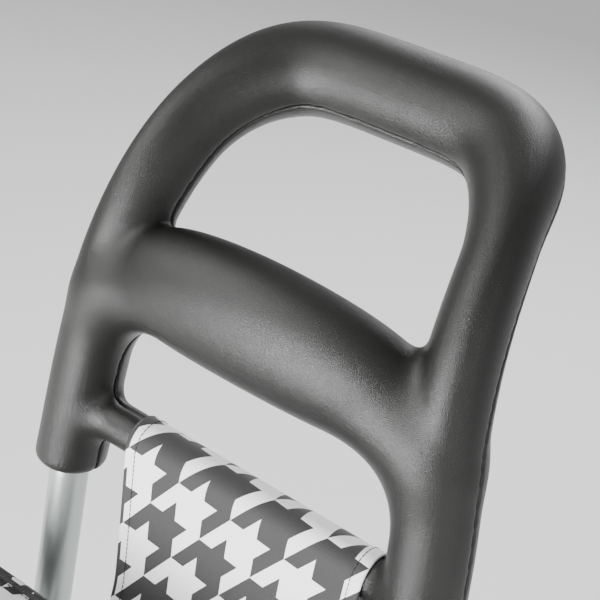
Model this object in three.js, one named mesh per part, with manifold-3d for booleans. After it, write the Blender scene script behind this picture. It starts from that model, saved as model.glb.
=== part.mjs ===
// Two-wheeled shopping trolley: aluminium tubes, moulded loop handle, folding platform and fabric bag.
// Millimetres, +Z up, the bag faces -Y and the user stands on the +Y side.
import * as THREE from 'three';
import { mergeVertices } from 'three/addons/utils/BufferGeometryUtils.js';
import Module from 'manifold-3d';

const wasm = await Module();
wasm.setup();

// ---- Driving dimensions ----
// "Up" is measured along the tubes from the axle centre, and the whole frame leans back by frameLean.
const frameLean = THREE.MathUtils.degToRad(5);
const fitGap = 0.3;

const tubeRadius = 10;
const tubeWall = 1.5;
const tubeSpread = 106;
const barUp = 770;
const socketDrop = 35;

const wheelRadius = 82.5;
const wheelWidth = 32;
const wheelSpread = 204;
const axleRadius = 5;
const axleBack = 34;

const pivotFront = -80;
const platformTube = 6;
const platformSpread = 83.5;
const platformFront = -238;

const bagWidth = 352;
const bagBack = -30;
const bagFront = -262;
const bagBottomUp = 13;
const bagTopUp = barUp - 118;
const bagCorner = 48;
const bagWall = 3;

const sleeveWidth = 140;
const sleeveShift = 9;
const sleeveThick = 2.4;

// ---- Materials ----
const shade = (color, roughness, metalness) =>
  new THREE.MeshStandardMaterial({ color, roughness, metalness });
const blackPlastic = shade(0x33342f, 0.5, 0);
const greyPlastic = shade(0x4a4c4d, 0.55, 0);
const aluminium = shade(0xb7bfb8, 0.4, 0.9);
const zincSteel = shade(0xa9acb0, 0.35, 0.95);
const blackSteel = shade(0x2b2c2d, 0.45, 0.3);
const rubber = shade(0x222222, 0.85, 0);
const checkFabric = shade(0xd9d9dc, 0.9, 0);
const blackFabric = shade(0x2a2a2b, 0.9, 0);
const whiteBoard = shade(0xcfcdc6, 0.8, 0);

// ---- Solids ----
function toSolid(geometry) {
  const bare = geometry.clone();
  bare.deleteAttribute('normal');
  bare.deleteAttribute('uv');
  const merged = mergeVertices(bare, 1e-4);
  const corners = merged.index.array;
  const kept = [];
  for (let i = 0; i < corners.length; i += 3) {
    const [a, b, c] = [corners[i], corners[i + 1], corners[i + 2]];
    if (a !== b && b !== c && c !== a) kept.push(a, b, c);
  }
  return new wasm.Manifold(new wasm.Mesh({
    numProp: 3,
    vertProperties: new Float32Array(merged.attributes.position.array),
    triVerts: new Uint32Array(kept),
  }));
}

function addPiece(parent, name, solid, material) {
  const mesh = solid.getMesh();
  const geometry = new THREE.BufferGeometry();
  geometry.setAttribute('position', new THREE.BufferAttribute(mesh.vertProperties, 3));
  geometry.setIndex(new THREE.BufferAttribute(mesh.triVerts, 1));
  geometry.computeVertexNormals();
  const piece = new THREE.Mesh(geometry, material);
  piece.name = name;
  parent.add(piece);
  return piece;
}

// A round bar along X between x0 and x1.
function rodX(radius, x0, x1, y, z, sides = 20) {
  const bar = new THREE.CylinderGeometry(radius, radius, x1 - x0, sides);
  return toSolid(bar.rotateZ(-Math.PI / 2).translate((x0 + x1) / 2, y, z));
}

// The same bar mirrored to one side: inner and outer are distances from the middle plane.
function rodOut(radius, side, inner, outer, y, z, sides = 16) {
  const [low, high] = side > 0 ? [inner, outer] : [-outer, -inner];
  return rodX(radius, low, high, y, z, sides);
}

// A round bar along Z between z0 and z1.
function rodZ(radius, z0, z1, x, y, sides = 24) {
  const bar = new THREE.CylinderGeometry(radius, radius, z1 - z0, sides);
  return toSolid(bar.rotateX(Math.PI / 2).translate(x, y, (z0 + z1) / 2));
}

// A box given by its lowest and highest corners.
function box(low, high) {
  const size = high.map((value, i) => value - low[i]);
  const middle = high.map((value, i) => (value + low[i]) / 2);
  return toSolid(new THREE.BoxGeometry(...size).translate(...middle));
}

// A profile of [radius, position along X] points that closes on itself, turned about the X axis.
function turned(profile, segments) {
  const points = [...profile, profile[0]].map(([radius, along]) => new THREE.Vector2(radius, along));
  return toSolid(new THREE.LatheGeometry(points, segments).rotateZ(-Math.PI / 2));
}

// An outline in Y and Z, drawn out along X.
const sideways = new THREE.Matrix4().makeBasis(
  new THREE.Vector3(0, 1, 0), new THREE.Vector3(0, 0, 1), new THREE.Vector3(1, 0, 0));
function plateX(outline, x0, x1, curveSegments = 8) {
  const options = { depth: x1 - x0, bevelEnabled: false, curveSegments };
  return toSolid(new THREE.ExtrudeGeometry(outline, options).applyMatrix4(sideways).translate(x0, 0, 0));
}

// A round tube or bar along a curve.
function barAlong(curve, radius, sides, steps) {
  const section = new THREE.Shape();
  for (let i = 0; i < sides; i += 1) {
    const turn = (i / sides) * 2 * Math.PI;
    const corner = [radius * Math.cos(turn), radius * Math.sin(turn)];
    if (i === 0) section.moveTo(...corner);
    else section.lineTo(...corner);
  }
  section.closePath();
  return toSolid(new THREE.ExtrudeGeometry(section, { steps, extrudePath: curve, bevelEnabled: false }));
}

// A body whose round section changes along a path: station(t) gives its centre and two half-axes.
function loft(station, sides, steps) {
  const geometry = new THREE.CylinderGeometry(1, 1, 1, sides, steps);
  const vertices = geometry.attributes.position;
  for (let i = 0; i < vertices.count; i += 1) {
    const { centre, across, through } = station(vertices.getY(i) + 0.5);
    const point = centre.clone()
      .addScaledVector(across, vertices.getX(i))
      .addScaledVector(through, vertices.getZ(i));
    vertices.setXYZ(i, point.x, point.y, point.z);
  }
  return toSolid(geometry);
}

// A rectangle in X and Y with round corners.
function roundedRectangle(halfWidth, back, front, corner) {
  const outline = new THREE.Shape();
  outline.moveTo(-halfWidth + corner, front);
  outline.lineTo(halfWidth - corner, front);
  outline.absarc(halfWidth - corner, front + corner, corner, -Math.PI / 2, 0);
  outline.lineTo(halfWidth, back - corner);
  outline.absarc(halfWidth - corner, back - corner, corner, 0, Math.PI / 2);
  outline.lineTo(-halfWidth + corner, back);
  outline.absarc(-halfWidth + corner, back - corner, corner, Math.PI / 2, Math.PI);
  outline.lineTo(-halfWidth, front + corner);
  outline.absarc(-halfWidth + corner, front + corner, corner, Math.PI, 1.5 * Math.PI);
  return outline;
}

function slabZ(outline, z0, z1, curveSegments = 6) {
  const options = { depth: z1 - z0, bevelEnabled: false, curveSegments };
  return toSolid(new THREE.ExtrudeGeometry(outline, options).translate(0, 0, z0));
}

// ---- Frames ----
// trolley stands on the ground; frame leans back about the axle; its Z runs up the tubes.
const trolley = new THREE.Group();
const frame = new THREE.Group();
frame.rotation.x = -frameLean;
frame.position.set(0, -axleBack * Math.cos(frameLean), wheelRadius + axleBack * Math.sin(frameLean));
trolley.add(frame);

// ---- Handle ----
// The legs rise from the sockets and taper inwards; above bendStart the loop curls back towards the user.
const legSpreadTop = 95.5;
const archStart = 75;
const archTop = 214;
const archSquareness = 4.2;
const bendStart = 60;
const bendRadius = 135;
const shellWall = 3.4;

// The loop laid out flat: x across the handle, y the distance up from the lower bar.
class FlatLoop extends THREE.Curve {
  getPoint(t, target = new THREE.Vector2()) {
    const side = t < 0.5 ? -1 : 1;
    const climb = 1 - Math.abs(2 * t - 1);
    const turn = Math.max(0, (climb - 0.4) / 0.6) * Math.PI / 2;
    const power = 2 / archSquareness;
    const up = turn > 0
      ? archStart + (archTop - archStart) * Math.sin(turn) ** power
      : THREE.MathUtils.lerp(-socketDrop, archStart, climb / 0.4);
    const taper = (tubeSpread - legSpreadTop) / (socketDrop + archStart);
    const spread = (tubeSpread - taper * (up + socketDrop)) * Math.max(Math.cos(turn), 0) ** power;
    return target.set(side * spread, up);
  }
}
const flatLoop = new FlatLoop();
flatLoop.arcLengthDivisions = 1200;

// Where a flat point lands once the loop is curled back: a straight run, then an arc.
function curl(x, up) {
  const turn = Math.max(0, (up - bendStart) / bendRadius);
  const y = bendRadius * (1 - Math.cos(turn));
  const z = Math.min(up, bendStart) + bendRadius * Math.sin(turn);
  const normal = new THREE.Vector3(0, Math.cos(turn), -Math.sin(turn));
  return { point: new THREE.Vector3(x, y, barUp + z), normal };
}

// Section sizes up the loop: [distance up, half-width across, half-depth, turn of the section].
const loopSections = [[-socketDrop, 17.4, 18.2, 0], [20, 18, 18.6, 0], [160, 15, 23, 0.4], [214, 20.4, 24, 0]];
function loopSection(up) {
  const next = Math.max(1, loopSections.findIndex((row) => row[0] >= up));
  const [low, high] = [loopSections[next - 1], loopSections[next]];
  const share = THREE.MathUtils.smoothstep(up, low[0], high[0]);
  return low.map((value, i) => THREE.MathUtils.lerp(value, high[i], share));
}

function loopStation(t, inset) {
  const flat = flatLoop.getPointAt(t);
  const ahead = flatLoop.getPointAt(Math.min(1, t + 1e-3));
  const behind = flatLoop.getPointAt(Math.max(0, t - 1e-3));
  const { point, normal } = curl(flat.x, flat.y);
  const tangent = curl(ahead.x, ahead.y).point.sub(curl(behind.x, behind.y).point).normalize();
  const inward = new THREE.Vector3().crossVectors(normal, tangent).normalize();
  const through = new THREE.Vector3().crossVectors(inward, tangent).normalize();
  const [, halfWidth, halfDepth, turn] = loopSection(flat.y);
  const across = inward.clone().applyAxisAngle(tangent, -turn).multiplyScalar(halfWidth - inset);
  through.applyAxisAngle(tangent, -turn).multiplyScalar(halfDepth - inset);
  return { centre: point, across, through };
}

// The mid bar bulges forward between the legs; its half-height and place change with x.
const midBar = { reach: 92, y: [-10.7, 2.8], up: [92.5, 81], halfHeight: [28.5, 21], halfDepth: 20.8 };
function midStation(t, reach, inset) {
  const x = THREE.MathUtils.lerp(-reach, reach, t);
  const share = (x / midBar.reach) ** 2;
  const blend = ([middle, end]) => THREE.MathUtils.lerp(middle, end, share);
  return {
    centre: new THREE.Vector3(x, blend(midBar.y), barUp + blend(midBar.up)),
    across: new THREE.Vector3(0, 0, blend(midBar.halfHeight) - inset),
    through: new THREE.Vector3(0, midBar.halfDepth - inset, 0),
  };
}

const lowerBarRadius = 10.5;
const legSpreadAtBar = 101;
const hollowEnd = 0.075;
const loopBody = loft((t) => loopStation(t, 0), 16, 46);
const hollowShare = (t) => THREE.MathUtils.lerp(hollowEnd, 1 - hollowEnd, t);
const loopHollow = loft((t) => loopStation(hollowShare(t), shellWall), 10, 26);
const midBody = loft((t) => midStation(t, 90, 0), 16, 10);
const midHollow = loft((t) => midStation(t, 86, shellWall), 10, 6);
const lowerBar = rodX(lowerBarRadius, -legSpreadAtBar, legSpreadAtBar, 0, barUp, 16);

// Screw places on the shells, as flat loop points.
const screwPlaces = [[-98, 30], [98, 30], [-42, 208], [42, 208]];
const screwHeadRadius = 3.6;
function alongNormal(radius, from, to, [x, up], sides = 12) {
  const { point, normal } = curl(x, up);
  const turn = new THREE.Quaternion().setFromUnitVectors(new THREE.Vector3(0, 1, 0), normal);
  const bar = new THREE.CylinderGeometry(radius, radius, to - from, sides).translate(0, (from + to) / 2, 0);
  return toSolid(bar.applyQuaternion(turn).translate(point.x, point.y, point.z));
}
const bosses = screwPlaces.map((place) => alongNormal(7, -30, 30, place));
let hollow = loopHollow.add(midHollow);
bosses.forEach((boss) => { hollow = hollow.subtract(boss); });
let handleBody = loopBody.add(midBody).add(lowerBar).subtract(hollow);

const tubeTop = barUp - 8;
const rivetUp = barUp - 25;
const rivetGrip = 14;
const rivetHead = 4;
const rivetShank = 3;
[-1, 1].forEach((side) => {
  const x = side * tubeSpread;
  handleBody = handleBody.subtract(rodZ(tubeRadius + fitGap, barUp - 80, tubeTop + fitGap, x, 0));
  handleBody = handleBody.subtract(rodX(rivetShank + fitGap, x - 26, x + 26, 0, rivetUp, 12));
  const headSeat = tubeSpread - rivetGrip;
  const headBore = rodOut(rivetHead + fitGap, side, headSeat - 10, headSeat + fitGap, 0, rivetUp, 12);
  handleBody = handleBody.subtract(headBore);
});
screwPlaces.forEach((place) => {
  handleBody = handleBody.subtract(alongNormal(screwHeadRadius + fitGap, 6, 40, place));
  handleBody = handleBody.subtract(alongNormal(1.8 + fitGap, -12, 8, place));
});

// The shells part along the curled mid surface.
const partingStart = -70;
const partingStep = 10;
function partingSide(offset, depth) {
  const outline = new THREE.Shape();
  const row = [];
  for (let up = partingStart; up <= 250; up += partingStep) {
    const { point, normal } = curl(0, up);
    row.push(point.addScaledVector(normal, offset));
  }
  row.forEach(({ y, z }, i) => (i === 0 ? outline.moveTo(y, z) : outline.lineTo(y, z)));
  const far = row.map(({ y, z }, i) => {
    const { normal } = curl(0, partingStart + partingStep * i);
    return [y + depth * normal.y, z + depth * normal.z];
  });
  far.reverse().forEach(([y, z]) => outline.lineTo(y, z));
  outline.closePath();
  return plateX(outline, -150, 150);
}
addPiece(frame, 'handle_front_shell', handleBody.intersect(partingSide(-0.15, -60)), blackPlastic);
addPiece(frame, 'handle_rear_shell', handleBody.intersect(partingSide(0.15, 60)), blackPlastic);

screwPlaces.forEach((place, i) => {
  const head = alongNormal(screwHeadRadius, 6 + fitGap, 9, place);
  const shank = alongNormal(1.8, -11.5, 8, place, 8);
  addPiece(frame, `handle_screw_${i + 1}`, head.add(shank), zincSteel);
});

// ---- Tubes, rivets and cross tube ----
const tubeFoot = -14;
const crossTubeUp = 84;
const sides = [['left', -1], ['right', 1]];
sides.forEach(([name, side]) => {
  const x = side * tubeSpread;
  const wall = rodZ(tubeRadius, tubeFoot, tubeTop, x, 0).subtract(
    rodZ(tubeRadius - tubeWall, tubeFoot - 1, tubeTop + 1, x, 0));
  const rivetHole = rodX(rivetShank + fitGap, x - 20, x + 20, 0, rivetUp, 12);
  addPiece(frame, `tube_${name}`, wall.subtract(rivetHole), aluminium);
  const shank = rodX(rivetShank, x - rivetGrip, x + rivetGrip, 0, rivetUp, 12);
  const seat = tubeSpread - rivetGrip;
  const head = rodOut(rivetHead, side, seat - 3.5, seat, 0, rivetUp, 12);
  addPiece(frame, `socket_rivet_${name}`, shank.add(head), blackSteel);
});
const crossReach = tubeSpread - tubeRadius - fitGap;
addPiece(frame, 'cross_tube', rodX(7, -crossReach, crossReach, 0, crossTubeUp, 20), aluminium);

// ---- Lower brackets ----
// Each clamps a tube, carries the axle behind it and the platform pivot in front of it.
const bracketHalf = 16;
const bracketTop = 62;
const pivotBoss = 12;
sides.forEach(([name, side]) => {
  const x = side * tubeSpread;
  const outline = new THREE.Shape();
  outline.moveTo(pivotFront, -pivotBoss);
  outline.lineTo(axleBack, -15);
  outline.absarc(axleBack, 0, 15, -Math.PI / 2, Math.PI / 3);
  outline.lineTo(15, 34);
  outline.lineTo(15, bracketTop);
  outline.lineTo(-15, bracketTop);
  outline.lineTo(-17, 30);
  outline.lineTo(-28, pivotBoss);
  outline.lineTo(pivotFront, pivotBoss);
  outline.absarc(pivotFront, 0, pivotBoss, Math.PI / 2, 1.5 * Math.PI);
  const body = plateX(outline, x - bracketHalf, x + bracketHalf)
    .subtract(rodZ(tubeRadius + fitGap, tubeFoot - fitGap, 90, x, 0))
    .subtract(rodX(axleRadius + fitGap, x - 30, x + 30, axleBack, 0, 16))
    .subtract(rodX(4 + fitGap, x - 30, x + 30, pivotFront, 0, 16));
  addPiece(frame, `lower_bracket_${name}`, body, greyPlastic);
});

// ---- Axle and wheels ----
const axleEnd = wheelSpread + 27;
addPiece(frame, 'axle', rodX(axleRadius, -axleEnd, axleEnd, axleBack, 0, 20), zincSteel);
const hubHalf = 21;
const hubRadius = 15;
const sleeveInner = tubeSpread + bracketHalf + fitGap;
sides.forEach(([name, side]) => {
  const centre = side * wheelSpread;
  const boreX = rodOut(axleRadius + fitGap, side, sleeveInner - 1, axleEnd + 30, axleBack, 0);
  const sleeve = rodOut(8, side, sleeveInner, wheelSpread - hubHalf - fitGap, axleBack, 0).subtract(boreX);
  addPiece(frame, `axle_sleeve_${name}`, sleeve, greyPlastic);
  const clipStart = wheelSpread + hubHalf + fitGap;
  const clip = rodOut(9, side, clipStart, clipStart + 1.6, axleBack, 0).subtract(boreX);
  addPiece(frame, `axle_clip_${name}`, clip, zincSteel);

  const wheel = new THREE.Group();
  wheel.position.set(centre, axleBack, 0);
  wheel.rotation.x = frameLean;
  frame.add(wheel);
  const half = wheelWidth / 2;
  const tread = [
    [66, -12], [72, -half], [79, -half], [wheelRadius, -9],
    [wheelRadius, 9], [79, half], [72, half], [66, 12]];
  addPiece(wheel, `wheel_${name}_tyre`, turned(tread, 36), rubber);
  const rimProfile = [[57, -13], [64.5, -13], [65.7, -11], [65.7, 11], [64.5, 13], [57, 13]];
  let rim = turned(rimProfile, 36);
  const hub = rodX(hubRadius, -hubHalf, hubHalf, 0, 0, 24);
  const spokeCount = 6;
  for (let i = 0; i < spokeCount; i += 1) {
    const spoke = new THREE.BoxGeometry(10, 14, 46).translate(0, 0, 36)
      .rotateX((i / spokeCount) * 2 * Math.PI);
    rim = rim.add(toSolid(spoke));
  }
  rim = rim.add(hub).subtract(rodX(axleRadius + fitGap, -60, 60, 0, 0, 16));
  addPiece(wheel, `wheel_${name}_rim`, rim, greyPlastic);
  const outerFace = side * (hubHalf + fitGap);
  const capProfile = [[12.5, 0], [15, 0], [15, 7], [11, 12], [0, 13.4], [0, 11.4], [10, 10], [12.5, 6]];
  const cap = capProfile.map(([radius, along]) => [radius, outerFace + side * along]);
  addPiece(wheel, `wheel_${name}_hub_cap`, turned(side > 0 ? cap : cap.reverse(), 24), blackPlastic);
});

// ---- Folding platform ----
// It swings on the pivot pins; its hoop stands on the ground in front of the wheels.
// A run of straight tube with a smooth bend at each corner.
function bentPath(corners, bend) {
  const path = new THREE.CurvePath();
  let from = corners[0];
  for (let i = 1; i < corners.length - 1; i += 1) {
    const toward = (other) => {
      const arm = other.clone().sub(corners[i]);
      return corners[i].clone().add(arm.setLength(Math.min(bend, 0.45 * arm.length())));
    };
    const [before, after] = [toward(corners[i - 1]), toward(corners[i + 1])];
    path.add(new THREE.LineCurve3(from, before));
    path.add(new THREE.QuadraticBezierCurve3(before, corners[i], after));
    from = after;
  }
  path.add(new THREE.LineCurve3(from, corners.at(-1)));
  return path;
}

// The same [y, z] route on both sides, joined across the front.
function mirroredRoute(route, spread) {
  const there = route.map(([y, z]) => new THREE.Vector3(-spread, y, z));
  const back = route.map(([y, z]) => new THREE.Vector3(spread, y, z)).reverse();
  return [...there, ...back];
}

const platformUp = 6.5;
const hoopFront = -222;
const hoopAboveGround = 10;
const groundOffset = frame.position.z - hoopFront * Math.sin(frameLean);
const hoopUp = (hoopAboveGround - groundOffset) / Math.cos(frameLean);
const loopRoute = [[pivotFront, 0], [pivotFront - 24, platformUp], [platformFront, platformUp]];
const hoopRoute = [[-206, platformUp], [hoopFront, hoopUp]];
let platform = barAlong(bentPath(mirroredRoute(loopRoute, platformSpread), 32), platformTube, 10, 30);
const hoop = barAlong(bentPath(mirroredRoute(hoopRoute, platformSpread), 26), platformTube, 10, 26);
platform = platform.add(hoop);
const eyeHalf = 5.7;
sides.forEach(([, side]) => {
  const x = side * platformSpread;
  platform = platform.add(rodX(9.5, x - eyeHalf, x + eyeHalf, pivotFront, 0, 20));
  platform = platform.subtract(rodX(4 + fitGap, x - 12, x + 12, pivotFront, 0, 16));
});
addPiece(frame, 'platform_frame', platform, blackSteel);
const rodReach = platformSpread - platformTube - fitGap;
[-120, -158, -196].forEach((y, i) => {
  addPiece(frame, `platform_rod_${i + 1}`, rodX(3, -rodReach, rodReach, y, platformUp, 12), blackSteel);
});
sides.forEach(([name, side]) => {
  const pad = new THREE.Group();
  pad.position.set(side * 36, hoopFront, hoopUp);
  pad.rotation.x = frameLean;
  frame.add(pad);
  const block = box([-18, -10, -hoopAboveGround], [18, 10, 2]);
  addPiece(pad, `foot_pad_${name}`, block.subtract(rodX(platformTube + fitGap, -20, 20, 0, 0, 16)), rubber);
  const outside = tubeSpread + bracketHalf + fitGap;
  const inside = platformSpread - eyeHalf - fitGap;
  const pin = rodOut(4, side, inside - 3.5, outside + 2.5, pivotFront, 0)
    .add(rodOut(7, side, outside, outside + 2.5, pivotFront, 0))
    .add(rodOut(7, side, inside - 3.5, inside, pivotFront, 0));
  addPiece(frame, `pivot_pin_${name}`, pin, zincSteel);
});

// ---- Bag ----
const bagHalf = bagWidth / 2;
const bagOuter = slabZ(roundedRectangle(bagHalf, bagBack, bagFront, bagCorner), bagBottomUp, bagTopUp);
const bagInner = slabZ(
  roundedRectangle(bagHalf - bagWall, bagBack - bagWall, bagFront + bagWall, bagCorner - bagWall),
  bagBottomUp + bagWall, bagTopUp + 1);
addPiece(frame, 'bag_body', bagOuter.subtract(bagInner), checkFabric);
const boardInset = bagWall + 2;
const boardOutline = roundedRectangle(
  bagHalf - boardInset, bagBack - boardInset, bagFront + boardInset, bagCorner - boardInset);
const boardUp = bagBottomUp + bagWall + fitGap;
addPiece(frame, 'bag_base_board', slabZ(boardOutline, boardUp, boardUp + 3), whiteBoard);

// A strip of even thickness along [y, z] points.
function stripX(points, thickness, x0, x1) {
  const row = points.map(([y, z]) => new THREE.Vector2(y, z));
  const offset = (side) => row.map((point, i) => {
    const along = row[Math.min(i + 1, row.length - 1)].clone().sub(row[Math.max(i - 1, 0)]).normalize();
    const shift = side * thickness / 2;
    return new THREE.Vector2(point.x - shift * along.y, point.y + shift * along.x);
  });
  const outline = new THREE.Shape([...offset(-1), ...offset(1).reverse()]);
  return plateX(outline, x0, x1);
}

// The sleeve rises from the bag's back, passes over the lower bar and comes down behind it. It has slid
// sleeveShift towards the right leg.
const sleeveRadius = lowerBarRadius + 0.6 + sleeveThick / 2;
const sleeveBack = bagBack + fitGap + sleeveThick / 2;
const sleeveRoute = [
  [sleeveBack, bagTopUp - 40], [sleeveBack, bagTopUp - 12], [-24, bagTopUp + 4],
  [-14, bagTopUp + 24], [-10.6, bagTopUp + 42], [-10.6, bagTopUp + 62]];
for (let turn = 187; turn >= -18; turn -= 12.8) {
  const angle = THREE.MathUtils.degToRad(turn);
  sleeveRoute.push([sleeveRadius * Math.cos(angle), barUp + sleeveRadius * Math.sin(angle)]);
}
sleeveRoute.push([-1.5, barUp - 34], [-6.4, barUp - 52]);
const sleeveSpan = [sleeveShift - sleeveWidth / 2, sleeveShift + sleeveWidth / 2];
const sleeve = stripX(sleeveRoute, sleeveThick, ...sleeveSpan);
addPiece(frame, 'hanging_sleeve', sleeve, checkFabric);

// ---- Lid ----
const lidOverhang = 10;
const lidCrown = 28;
const lidSkirt = 48;
const lidWall = 3;
const lidBack = bagBack - 1.5;
function lidForm(inset) {
  const edge = 26 - inset;
  const reach = bagHalf + lidOverhang - inset;
  const top = bagTopUp + lidCrown - inset;
  const base = bagTopUp - lidSkirt - 60;
  const outline = roundedRectangle(reach - edge, 60, bagFront - lidOverhang + inset + edge, 30);
  const depth = top - base - 2 * edge;
  const options = { depth, bevelThickness: edge, bevelSize: edge, bevelSegments: 4, curveSegments: 4 };
  return toSolid(new THREE.ExtrudeGeometry(outline, options).translate(0, 0, base + edge));
}
const lidSpace = box([-300, -400, bagTopUp - lidSkirt], [300, lidBack, bagTopUp + 100]);
addPiece(frame, 'lid', lidForm(0).subtract(lidForm(lidWall)).intersect(lidSpace), checkFabric);

const lidFront = bagFront - lidOverhang;
const strapThick = 2.2;
const strapHalf = 19;
const strapUpper = lidFront - fitGap - strapThick / 2;
const patchThick = 1.6;
const strapLower = bagFront - 2 * fitGap - patchThick - strapThick / 2;
const strapRoute = [
  [strapUpper, bagTopUp - 4], [strapUpper, bagTopUp - lidSkirt - 3],
  [strapLower, bagTopUp - lidSkirt - 24], [strapLower, bagTopUp - lidSkirt - 86]];
addPiece(frame, 'lid_strap', stripX(strapRoute, strapThick, -strapHalf, strapHalf), blackFabric);
const patchTop = bagTopUp - lidSkirt - 26;
const patchLow = [-strapHalf, bagFront - fitGap - patchThick, patchTop - 56];
addPiece(frame, 'strap_patch', box(patchLow, [strapHalf, bagFront - fitGap, patchTop]), blackFabric);

// ---- Back of the bag ----
const pocketHalf = 72;
const pocketLow = 240;
const pocketHigh = 430;
const pocketDepth = 7;
const pocketBack = bagBack + fitGap;
addPiece(frame, 'rear_pocket', box(
  [-pocketHalf, pocketBack, pocketLow], [pocketHalf, pocketBack + pocketDepth, pocketHigh]), checkFabric);
const pullFace = pocketBack + pocketDepth + fitGap;
const pull = box([46, pullFace, pocketHigh - 34], [53, pullFace + 2.4, pocketHigh - 10]);
addPiece(frame, 'zip_pull', pull, zincSteel);
const loopHalfHeight = 15;
sides.forEach(([name, side]) => {
  [['lower', 170], ['upper', 560]].forEach(([level, up]) => {
    const x = side * tubeSpread;
    const [low, high] = [up - loopHalfHeight, up + loopHalfHeight];
    const web = rodZ(12.6, low, high, x, 0, 20)
      .add(box([x - 1.4, pocketBack + 0.8, low], [x + 1.4, -11.5, high]))
      .add(box([x - 14, pocketBack, low], [x + 14, pocketBack + 1.6, high]))
      .subtract(rodZ(tubeRadius + fitGap, low - 1, high + 1, x, 0));
    addPiece(frame, `tube_loop_${name}_${level}`, web, blackFabric);
  });
});

// ---- Stand the trolley on the ground, centred on the origin ----
trolley.updateMatrixWorld(true);
const bounds = new THREE.Box3().setFromObject(trolley, true);
trolley.position.y = -(bounds.min.y + bounds.max.y) / 2;
trolley.position.z = -bounds.min.z;
const group = new THREE.Group();
group.add(trolley);

export default group;
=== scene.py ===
import math

import bmesh
import bpy
import numpy as np
from mathutils import Matrix, Vector


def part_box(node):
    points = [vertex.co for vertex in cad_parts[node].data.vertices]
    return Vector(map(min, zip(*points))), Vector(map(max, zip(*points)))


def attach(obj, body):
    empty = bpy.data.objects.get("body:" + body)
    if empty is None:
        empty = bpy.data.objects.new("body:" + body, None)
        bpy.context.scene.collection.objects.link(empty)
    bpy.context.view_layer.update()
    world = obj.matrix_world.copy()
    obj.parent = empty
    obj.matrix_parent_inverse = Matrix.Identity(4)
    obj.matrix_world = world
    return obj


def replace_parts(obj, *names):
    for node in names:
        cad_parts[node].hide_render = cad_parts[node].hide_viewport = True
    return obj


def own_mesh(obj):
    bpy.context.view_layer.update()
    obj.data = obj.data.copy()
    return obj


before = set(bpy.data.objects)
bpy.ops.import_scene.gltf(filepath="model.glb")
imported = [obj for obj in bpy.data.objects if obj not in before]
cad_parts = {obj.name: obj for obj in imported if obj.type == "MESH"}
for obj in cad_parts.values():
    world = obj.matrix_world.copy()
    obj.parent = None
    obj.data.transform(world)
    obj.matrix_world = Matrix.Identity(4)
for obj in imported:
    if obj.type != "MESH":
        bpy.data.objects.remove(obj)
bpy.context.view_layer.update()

# ---- The stance ----
# The trolley leans back about its axle. Sizes below are millimetres in the leaning frame: x across,
# y back from the tubes, z up the tubes from the axle. stand() turns them into metres on the ground.
LEAN = math.radians(5)
AXLE_BACK = 34
BAR_UP = 770
TUBE_SPREAD = 106
axle_low, axle_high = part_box("axle")
axle_centre = (np.array(axle_low) + np.array(axle_high)) / 2


def stand(points):
    """Leaning millimetres to world metres: turn by LEAN about X so that the top moves back, then move
    so that the point AXLE_BACK behind the tubes falls on the axle's centre."""
    p = np.asarray(points, float) / 1000
    y = p[..., 1] - AXLE_BACK / 1000
    turned_y = y * math.cos(LEAN) + p[..., 2] * math.sin(LEAN)
    turned_z = -y * math.sin(LEAN) + p[..., 2] * math.cos(LEAN)
    return np.stack([p[..., 0], axle_centre[1] + turned_y, axle_centre[2] + turned_z], -1)


# ---- Floor, lights and camera ----
# A pale floor in a pale room, four soft area lights, and a camera above and to the right of the handle,
# on the bag's side. None of it belongs to the trolley.
def node_material(name):
    """A new material with its node tree and its shader."""
    material = bpy.data.materials.new(name)
    material.use_nodes = True
    return material, material.node_tree, material.node_tree.nodes["Principled BSDF"]


def plain_material(name, colour, roughness):
    material, _, shader = node_material(name)
    shader.inputs["Base Color"].default_value = (*colour, 1)
    shader.inputs["Roughness"].default_value = roughness
    return material


floor_size = 12
bpy.ops.mesh.primitive_plane_add(size=floor_size)
floor = bpy.context.object
floor.name = "floor"
floor.data.materials.append(plain_material("floor_paper", (0.97, 0.97, 0.97), 0.95))


def soft_light(name, place, aim, size, power):
    lamp = bpy.data.lights.new(name, "AREA")
    lamp.shape = "DISK"
    lamp.size = size
    lamp.energy = power
    lamp_object = bpy.data.objects.new(name, lamp)
    bpy.context.collection.objects.link(lamp_object)
    lamp_object.location = place
    lamp_object.rotation_euler = (Vector(aim) - Vector(place)).to_track_quat("-Z", "Y").to_euler()


handle_centre = stand([0, 20, BAR_UP + 60])
soft_light("key_light", (-0.35, -2.0, 0.6), handle_centre, 0.45, 130)
soft_light("upper_left_light", (-1.6, -1.2, 2.2), handle_centre, 1.0, 45)
soft_light("fill_light", (2.6, -1.0, 1.2), handle_centre, 1.2, 20)
soft_light("back_light", (-0.6, 2.4, 2.4), handle_centre, 1.6, 60)

world = bpy.data.worlds.new("pale_room")
world.use_nodes = True
world.node_tree.nodes["Background"].inputs["Color"].default_value = (1, 1, 1, 1)
world.node_tree.nodes["Background"].inputs["Strength"].default_value = 0.5
bpy.context.scene.world = world

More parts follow.
